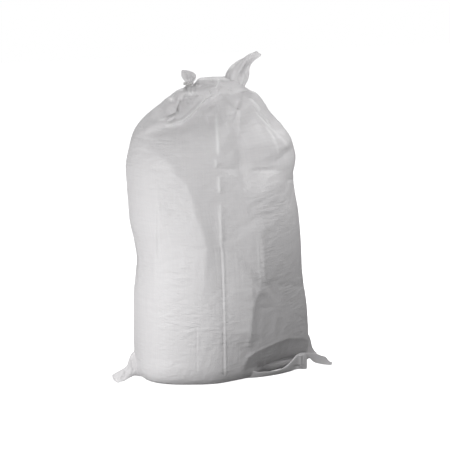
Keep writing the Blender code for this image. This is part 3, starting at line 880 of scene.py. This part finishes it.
def tube(name, route, radius, sides=8):
    """A closed round tube along a route."""
    tangents, right, up = frames_along(route)
    turn = np.linspace(0, 2 * np.pi, sides, endpoint=False)
    spokes = np.cos(turn)[None, :, None] * right[:, None] + np.sin(turn)[None, :, None] * up[:, None]
    return skin(name, (route[:, None] + spokes * radius).reshape(-1, 3), sides, 2 * np.pi * radius)


# %% One piece from several
def joined(name, pieces):
    """One object from several, smooth and riding on the CAD root."""
    only(pieces[0])
    for piece in pieces[1:]:
        piece.select_set(True)
    bpy.ops.object.join()
    pieces[0].name = pieces[0].data.name = name
    pieces[0].data.shade_smooth()
    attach(pieces[0], "root")
    print(name, len(pieces[0].data.polygons), "faces")
    return pieces[0]


# %% The route of the twine: a tail in front, turns round the neck, and along the back of the roll
NECK_X, NECK_RADIUS, NECK_LOW = -0.0855, 0.0095, 0.7175
TWINE_RADIUS, TWINE_TURNS, TWINE_PITCH = 0.0012, 2.5, 0.0030
FIRST_TURN = math.radians(-100)
COIL_LIFT, COIL_POINTS = 0.0025, 51
ROUTE_STEP = 0.0006

share = np.linspace(0, 1, COIL_POINTS)
angle = FIRST_TURN + 2 * np.pi * TWINE_TURNS * share
coil = np.stack([
    NECK_X + (NECK_RADIUS + TWINE_RADIUS) * np.cos(angle),
    (NECK_RADIUS + TWINE_RADIUS) * np.sin(angle),
    NECK_LOW + COIL_LIFT + TWINE_PITCH * TWINE_TURNS * share,
], axis=1)
tail = [
    (-0.0775, -0.0264, 0.7010), (-0.0800, -0.0238, 0.7060), (-0.0832, -0.0178, 0.7108),
    (-0.0868, -0.0130, 0.7155),
]
along_back = [
    (-0.0765, 0.0108, 0.7240), (-0.070, 0.0160, 0.7160), (-0.052, 0.0205, 0.7140), (-0.030, 0.0228, 0.7130),
    (-0.008, 0.0230, 0.7125), (0.014, 0.0215, 0.7135), (0.036, 0.0192, 0.7150), (0.056, 0.0140, 0.7170),
]
twine_route = smooth_route([*tail, *coil, *along_back], ROUTE_STEP)
print("twine route", round(len(twine_route) * ROUTE_STEP, 3), "m")

# %% Two plies that wind round it
PLY_LENGTH, PLY_OFFSET, PLY_RADIUS = 0.0055, 0.0006, 0.00068
gone = np.arange(len(twine_route)) * ROUTE_STEP
_, right, up = frames_along(twine_route)
plies = []
for k in (0, 1):
    twist = 2 * np.pi * gone / PLY_LENGTH + k * np.pi
    path = twine_route + PLY_OFFSET * (np.cos(twist)[:, None] * right + np.sin(twist)[:, None] * up)
    plies.append(tube(f"ply_{k}", path, PLY_RADIUS, 6))
twine = joined("twisted_twine", plies)
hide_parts("mouth_twine")

# %% [markdown]
# The bottom is closed with a chain stitch: a row of loops, each held by the next. Each stitch shows as a
# short plump bead, so one bead is modelled and copied along the CAD thread's route. An array modifier
# would do that on a straight hem, but here each copy also has to lie down on the cloth under it.

# %% The route of the seam, over the left tab, under the sack, and along and up the hem
LOW = 0.0010
seam = [
    (-0.2768, -0.0028, 0.0081), (-0.2651, -0.0022, 0.0115), (-0.2537, -0.0014, 0.0158),
    (-0.2481, -0.0019, 0.0184), (-0.2374, -0.0087, 0.0160), (-0.2267, -0.0140, 0.0123),
    (-0.2152, -0.0150, 0.0075), (-0.1980, -0.0140, LOW), (-0.1600, -0.0120, LOW), (-0.1000, -0.0150, LOW),
    (-0.0300, -0.0300, LOW), (0.0300, -0.0540, LOW), (0.0750, -0.0760, LOW), (0.1020, -0.0880, LOW),
    (0.1210, -0.0901, 0.0020), (0.1407, -0.0911, 0.0034), (0.1598, -0.0925, 0.0057),
    (0.1717, -0.0939, 0.0088), (0.1774, -0.0952, 0.0109), (0.1821, -0.0976, 0.0141),
    (0.1840, -0.0990, 0.0198), (0.1839, -0.0996, 0.0259), (0.1848, -0.1008, 0.0382),
    (0.1857, -0.1014, 0.0487),
]
STITCH = 0.0062
places_along = smooth_route(seam, STITCH)
heading = np.gradient(places_along, axis=0)
print(len(places_along), "stitches")

# %% One stitch
HALF_LONG, HALF_WIDE, HALF_HIGH = 0.47 * STITCH, 0.0008, 0.0006
bpy.ops.object.select_all(action="DESELECT")
bpy.ops.mesh.primitive_uv_sphere_add(segments=8, ring_count=6, radius=1.0)
bead = bpy.context.object
bpy.ops.object.mode_set(mode="EDIT")
bpy.ops.transform.resize(value=(HALF_LONG, HALF_WIDE, HALF_HIGH))
bpy.ops.object.mode_set(mode="OBJECT")

# %% Stitches along the hem
STITCH_LIFT = 0.0003
stitches = []
for place, direction in zip(places_along, heading):
    on_cloth, near, outwards, _ = sack.closest_point_on_mesh(Vector(place))
    # Under the sack the stitches stay where the CAD thread lies
    if not on_cloth or place[2] <= LOW:
        near, outwards = Vector(place), Vector((0, 0, -1))
    x = Vector(direction).normalized()
    z = (outwards - x * outwards.dot(x)).normalized()
    turned = Matrix((x, z.cross(x), z)).transposed().to_4x4()
    copied = bead.data.copy()
    copied.transform(Matrix.Translation(near + outwards * STITCH_LIFT) @ turned)
    stitch = bpy.data.objects.new(f"stitch_{len(stitches)}", copied)
    bpy.context.scene.collection.objects.link(stitch)
    stitches.append(stitch)
bpy.data.objects.remove(bead)
thread = joined("chain_stitches", stitches)
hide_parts("bottom_seam_thread")

# %% [markdown]
# ## Finishes
# The cloth is woven from flat white polypropylene tapes about 2.7 mm wide. An image of a weave would do,
# but nodes can draw one at any size. A node group draws it from the flat cloth's own measure, so that it
# bends with the folds: it gives a height for the bump and a tone that changes from tape to tape. A second
# group gives the fine creases that storage leaves.

# %% Small helpers for node trees
def math_node(tree, operation, first, second=None):
    """A Math node; each input is a socket or a number."""
    node = tree.nodes.new("ShaderNodeMath")
    node.operation = operation
    for socket, value in zip(node.inputs, (first, second)):
        if value is None:
            continue
        if hasattr(value, "links"):
            tree.links.new(value, socket)
        else:
            socket.default_value = value
    return node.outputs[0]


def noise_at(tree, x, y, detail=2.0):
    """Noise between 0 and 1 at a place that two sockets give."""
    place = tree.nodes.new("ShaderNodeCombineXYZ")
    tree.links.new(x, place.inputs[0])
    tree.links.new(y, place.inputs[1])
    noise = tree.nodes.new("ShaderNodeTexNoise")
    noise.inputs["Scale"].default_value = 1.0
    noise.inputs["Detail"].default_value = detail
    tree.links.new(place.outputs[0], noise.inputs["Vector"])
    return noise.outputs["Fac"]


def node_group(name, inputs, outputs):
    """A new shader group: its tree, and the sockets that it takes in and gives out."""
    tree = bpy.data.node_groups.new(name, "ShaderNodeTree")
    for label, kind in inputs:
        tree.interface.new_socket(label, in_out="INPUT", socket_type=kind)
    for label, kind in outputs:
        tree.interface.new_socket(label, in_out="OUTPUT", socket_type=kind)
    return tree, tree.nodes.new("NodeGroupInput").outputs, tree.nodes.new("NodeGroupOutput").inputs


def shade_ramp(tree, low, high, dark, light):
    """A colour ramp from a dark shade at low to a light one at high."""
    ramp = tree.nodes.new("ShaderNodeValToRGB")
    for element, position, shade in zip(ramp.color_ramp.elements, (low, high), (dark, light)):
        element.position = position
        element.color = (*shade, 1)
    return ramp


# %% Group: plain weave of flat tapes
weave, taken, given = node_group(
    "plain_weave",
    [("Place", "NodeSocketVector"), ("Tapes per Metre", "NodeSocketFloat")],
    [("Height", "NodeSocketFloat"), ("Tone", "NodeSocketFloat")],
)
apart = weave.nodes.new("ShaderNodeSeparateXYZ")
weave.links.new(taken["Place"], apart.inputs[0])
warp = math_node(weave, "MULTIPLY", apart.outputs[0], taken["Tapes per Metre"])
weft = math_node(weave, "MULTIPLY", apart.outputs[1], taken["Tapes per Metre"])
warp_wave = math_node(weave, "SINE", math_node(weave, "MULTIPLY", warp, math.pi))
weft_wave = math_node(weave, "SINE", math_node(weave, "MULTIPLY", weft, math.pi))
crossing = math_node(weave, "MULTIPLY", warp_wave, weft_wave)
# Each crossing is a small pillow, and the tape on top changes from one crossing to the next
pillow = math_node(weave, "POWER", math_node(weave, "ABSOLUTE", crossing), 0.5)
height = math_node(weave, "ADD", pillow, math_node(weave, "MULTIPLY", crossing, 0.25))
weave.links.new(height, given["Height"])

# %% Each tape has its own shade, which changes slowly along it
# Tapes next to each other are this far apart in the noise, so their shades have nothing in common
WARP_APART, WEFT_APART = 7.31, 5.17
ALONG_TAPE = 9.0
warp_number = math_node(weave, "MULTIPLY", math_node(weave, "FLOOR", warp), WARP_APART)
weft_number = math_node(weave, "MULTIPLY", math_node(weave, "FLOOR", weft), WEFT_APART)
warp_tone = noise_at(weave, warp_number, math_node(weave, "MULTIPLY", apart.outputs[1], ALONG_TAPE))
weft_tone = noise_at(weave, math_node(weave, "MULTIPLY", apart.outputs[0], ALONG_TAPE), weft_number)
tone = math_node(weave, "MULTIPLY", math_node(weave, "ADD", warp_tone, weft_tone), 0.5)
weave.links.new(tone, given["Tone"])
print(weave.name, len(weave.nodes), "nodes")

# %% Group: fine creases across and along the cloth
creased, taken, given = node_group(
    "storage_creases",
    [("Place", "NodeSocketVector")],
    [("Height", "NodeSocketFloat")],
)
apart = creased.nodes.new("ShaderNodeSeparateXYZ")
creased.links.new(taken["Place"], apart.inputs[0])
u, v = apart.outputs[0], apart.outputs[1]


def folds(rate_u, rate_v):
    """Noise folded at its middle, which gives sharp valleys, with its rates per metre across and up."""
    there = noise_at(
        creased, math_node(creased, "MULTIPLY", u, rate_u), math_node(creased, "MULTIPLY", v, rate_v), 3.0)
    return math_node(creased, "ABSOLUTE", math_node(creased, "SUBTRACT", there, 0.5))


# Creases that lie level show in patches, and upright ones faintly all over
patches = noise_at(creased, math_node(creased, "MULTIPLY", u, 9.0), math_node(creased, "MULTIPLY", v, 6.0))
patches = math_node(creased, "MULTIPLY", math_node(creased, "SUBTRACT", patches, 0.32), 2.2)
level = math_node(creased, "MULTIPLY", folds(16.0, 62.0), math_node(creased, "MAXIMUM", patches, 0.1))
upright = math_node(creased, "MULTIPLY", folds(70.0, 9.0), 0.14)
creased.links.new(math_node(creased, "ADD", level, upright), given["Height"])
print(creased.name, len(creased.nodes), "nodes")


# %% A material, and a group placed in one
def material(name, roughness):
    """A material with this roughness, its node tree and its shader."""
    made = bpy.data.materials.new(name)
    made.use_nodes = True
    shader = made.node_tree.nodes["Principled BSDF"]
    shader.inputs["Roughness"].default_value = roughness
    return made, made.node_tree, shader


def group_node(tree, group):
    """A group placed in a material."""
    node = tree.nodes.new("ShaderNodeGroup")
    node.node_tree = group
    return node


# %% Woven polypropylene: where its patterns lie
TAPES_PER_METRE = 370
cloth_look, tree, shader = material("woven_polypropylene", 0.48)
place = tree.nodes.new("ShaderNodeUVMap")
place.uv_map = "flat_cloth"
tapes = group_node(tree, weave)
tapes.inputs["Tapes per Metre"].default_value = TAPES_PER_METRE
tree.links.new(place.outputs[0], tapes.inputs["Place"])
lines = group_node(tree, creased)
tree.links.new(place.outputs[0], lines.inputs["Place"])

# %% Woven polypropylene: its colour, whiter where it is strained and where a highlight is painted on a fold
TONE_LOW, TONE_HIGH = 0.30, 0.70
shades = shade_ramp(tree, TONE_LOW, TONE_HIGH, (0.765, 0.752, 0.762), (0.815, 0.802, 0.810))
tree.links.new(tapes.outputs["Tone"], shades.inputs[0])
# The mesh attribute says how much paler each point is painted: strain whitening and painted highlight on
# folds
strained = tree.nodes.new("ShaderNodeAttribute")
strained.attribute_name = "strain_white_and_highlight"
strain_white_and_highlight_mix = tree.nodes.new("ShaderNodeMix")
strain_white_and_highlight_mix.data_type = "RGBA"
# The pale colour of strained cloth, also used as a painted highlight along the folds
strain_white_and_highlight_mix.inputs["B"].default_value = (0.95, 0.945, 0.95, 1)
tree.links.new(strained.outputs["Fac"], strain_white_and_highlight_mix.inputs["Factor"])
tree.links.new(shades.outputs[0], strain_white_and_highlight_mix.inputs["A"])
tree.links.new(strain_white_and_highlight_mix.outputs["Result"], shader.inputs["Base Color"])

# %% Woven polypropylene: its gloss and relief
gloss = tree.nodes.new("ShaderNodeMapRange")
gloss.inputs["From Min"].default_value = TONE_LOW
gloss.inputs["From Max"].default_value = TONE_HIGH
gloss.inputs["To Min"].default_value = 0.42
gloss.inputs["To Max"].default_value = 0.54
tree.links.new(tapes.outputs["Tone"], gloss.inputs["Value"])
tree.links.new(gloss.outputs[0], shader.inputs["Roughness"])
crease_bump = tree.nodes.new("ShaderNodeBump")
crease_bump.inputs["Strength"].default_value = 1.0
crease_bump.inputs["Distance"].default_value = 0.0060
tree.links.new(lines.outputs["Height"], crease_bump.inputs["Height"])
weave_bump = tree.nodes.new("ShaderNodeBump")
weave_bump.inputs["Strength"].default_value = 1.0
weave_bump.inputs["Distance"].default_value = 0.00012
tree.links.new(tapes.outputs["Height"], weave_bump.inputs["Height"])
tree.links.new(crease_bump.outputs[0], weave_bump.inputs["Normal"])
tree.links.new(weave_bump.outputs[0], shader.inputs["Normal"])
print(cloth_look.name, len(tree.nodes), "nodes")

# %% [markdown]
# The twine and the thread are matt bundles of fibre. They are too thin for a pattern of their own, so a
# noise makes their shade wander a little, and the same noise roughens them.

# %% Fibrous twine and thread
def fibre_look(name, dark, light, roughness, rate):
    """A matt fibre whose shade wanders, on object coordinates because the pieces are thin."""
    look, tree, shader = material(name, roughness)
    where = tree.nodes.new("ShaderNodeTexCoord")
    noise = tree.nodes.new("ShaderNodeTexNoise")
    noise.inputs["Scale"].default_value = rate
    noise.inputs["Detail"].default_value = 4
    tree.links.new(where.outputs["Object"], noise.inputs["Vector"])
    ramp = shade_ramp(tree, 0.35, 0.65, dark, light)
    tree.links.new(noise.outputs["Fac"], ramp.inputs[0])
    tree.links.new(ramp.outputs[0], shader.inputs["Base Color"])
    bump = tree.nodes.new("ShaderNodeBump")
    bump.inputs["Distance"].default_value = 0.0001
    tree.links.new(noise.outputs["Fac"], bump.inputs["Height"])
    tree.links.new(bump.outputs[0], shader.inputs["Normal"])
    return look


twine_look = fibre_look("polypropylene_twine", (0.70, 0.69, 0.68), (0.86, 0.85, 0.84), 0.7, 900)
thread_look = fibre_look("sewing_thread", (0.74, 0.735, 0.74), (0.90, 0.895, 0.90), 0.65, 1400)

# %% Each finish goes on its piece and on the CAD node that the piece dresses
dressed = (
    (sack, "woven_sack", cloth_look),
    (twine, "mouth_twine", twine_look),
    (thread, "bottom_seam_thread", thread_look),
)
for piece, node_name, look in dressed:
    for wearer in (piece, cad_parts[node_name]):
        wearer.data.materials.clear()
        wearer.data.materials.append(look)
    print(look.name, "on", piece.name)

# %% [markdown]
# ## Studio
# The sack stands on a white floor against white, as in a catalogue. A real floor that is lit to pure white
# would throw light up on the sack. So the floor shows white to the camera and is dark grey to everything
# else, and the world is white to the camera and dim as a light. Window light comes from the left, a lamp on
# the right keeps the panels of the shaded side apart, and one high behind lights the back.

# %% The floor, white to the camera and dark to everything else
FLOOR_HALF = 6
floor_mesh = bpy.data.meshes.new("floor")
floor_mesh.from_pydata(
    [(x * FLOOR_HALF, y * FLOOR_HALF, 0) for x, y in ((-1, -1), (1, -1), (1, 1), (-1, 1))],
    [],
    [(0, 1, 2, 3)],
)
floor = bpy.data.objects.new("floor", floor_mesh)
bpy.context.scene.collection.objects.link(floor)
floor_look = bpy.data.materials.new("pale_floor")
floor_look.use_nodes = True
nodes, links = floor_look.node_tree.nodes, floor_look.node_tree.links
floor_shader = nodes["Principled BSDF"]
floor_shader.inputs["Base Color"].default_value = (0.92, 0.92, 0.92, 1)
floor_shader.inputs["Roughness"].default_value = 0.9
path = nodes.new("ShaderNodeLightPath")
dark = nodes.new("ShaderNodeBsdfDiffuse")
dark.inputs["Color"].default_value = (0.15, 0.15, 0.15, 1)
mix = nodes.new("ShaderNodeMixShader")
links.new(path.outputs["Is Camera Ray"], mix.inputs[0])
links.new(dark.outputs[0], mix.inputs[1])
links.new(floor_shader.outputs[0], mix.inputs[2])
links.new(mix.outputs[0], nodes["Material Output"].inputs["Surface"])
floor_shader.inputs["Emission Color"].default_value = (1, 1, 1, 1)
floor_shader.inputs["Emission Strength"].default_value = 1.0
floor.data.materials.append(floor_look)

# %% The world, white to the camera and dim as a light
WORLD_LIGHT = 0.135
world = bpy.data.worlds.new("studio")
world.use_nodes = True
bpy.context.scene.world = world
nodes, links = world.node_tree.nodes, world.node_tree.links
seen = nodes["Background"]
seen.inputs["Color"].default_value = (1, 1, 1, 1)
seen.inputs["Strength"].default_value = 1.0
lit = nodes.new("ShaderNodeBackground")
lit.inputs["Color"].default_value = (1, 1, 1, 1)
lit.inputs["Strength"].default_value = WORLD_LIGHT
path = nodes.new("ShaderNodeLightPath")
mix = nodes.new("ShaderNodeMixShader")
links.new(path.outputs["Is Camera Ray"], mix.inputs[0])
links.new(lit.outputs[0], mix.inputs[1])
links.new(seen.outputs[0], mix.inputs[2])
links.new(mix.outputs[0], nodes["World Output"].inputs["Surface"])


# %% Round lamps that all look at the sack's middle
def lamp_at(name, turn, rise, far, size, energy):
    """A lamp at a turn from the front and a rise above level, in degrees, and so far away, in metres."""
    data = bpy.data.lights.new(name, "AREA")
    data.shape = "DISK"
    data.size = size
    data.energy = energy
    turn, rise = math.radians(turn), math.radians(rise)
    place = AIM + far * Vector((
        math.sin(turn) * math.cos(rise), -math.cos(turn) * math.cos(rise), math.sin(rise)))
    lamp = bpy.data.objects.new(name, data)
    lamp.location = place
    lamp.rotation_euler = (place - AIM).to_track_quat("Z", "Y").to_euler()
    bpy.context.scene.collection.objects.link(lamp)


lamp_at("window", -60, -12, 1.0, 0.35, 3.1)
lamp_at("window_low", -45, -12, 1.3, 0.45, 2.9)
lamp_at("window_high", -60, 20, 1.3, 0.45, 2.9)
lamp_at("right", 40, 38, 0.9, 0.30, 2.9)
lamp_at("right_low", 90, 15, 0.9, 0.30, 0.5)
lamp_at("back_top", 180, 60, 2.0, 0.70, 19.5)
bpy.context.scene.view_settings.view_transform = "Standard"
print(len(bpy.data.lights), "lamps")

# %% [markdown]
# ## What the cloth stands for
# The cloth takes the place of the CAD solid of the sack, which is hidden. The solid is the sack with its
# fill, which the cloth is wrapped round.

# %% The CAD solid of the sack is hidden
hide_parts("woven_sack")
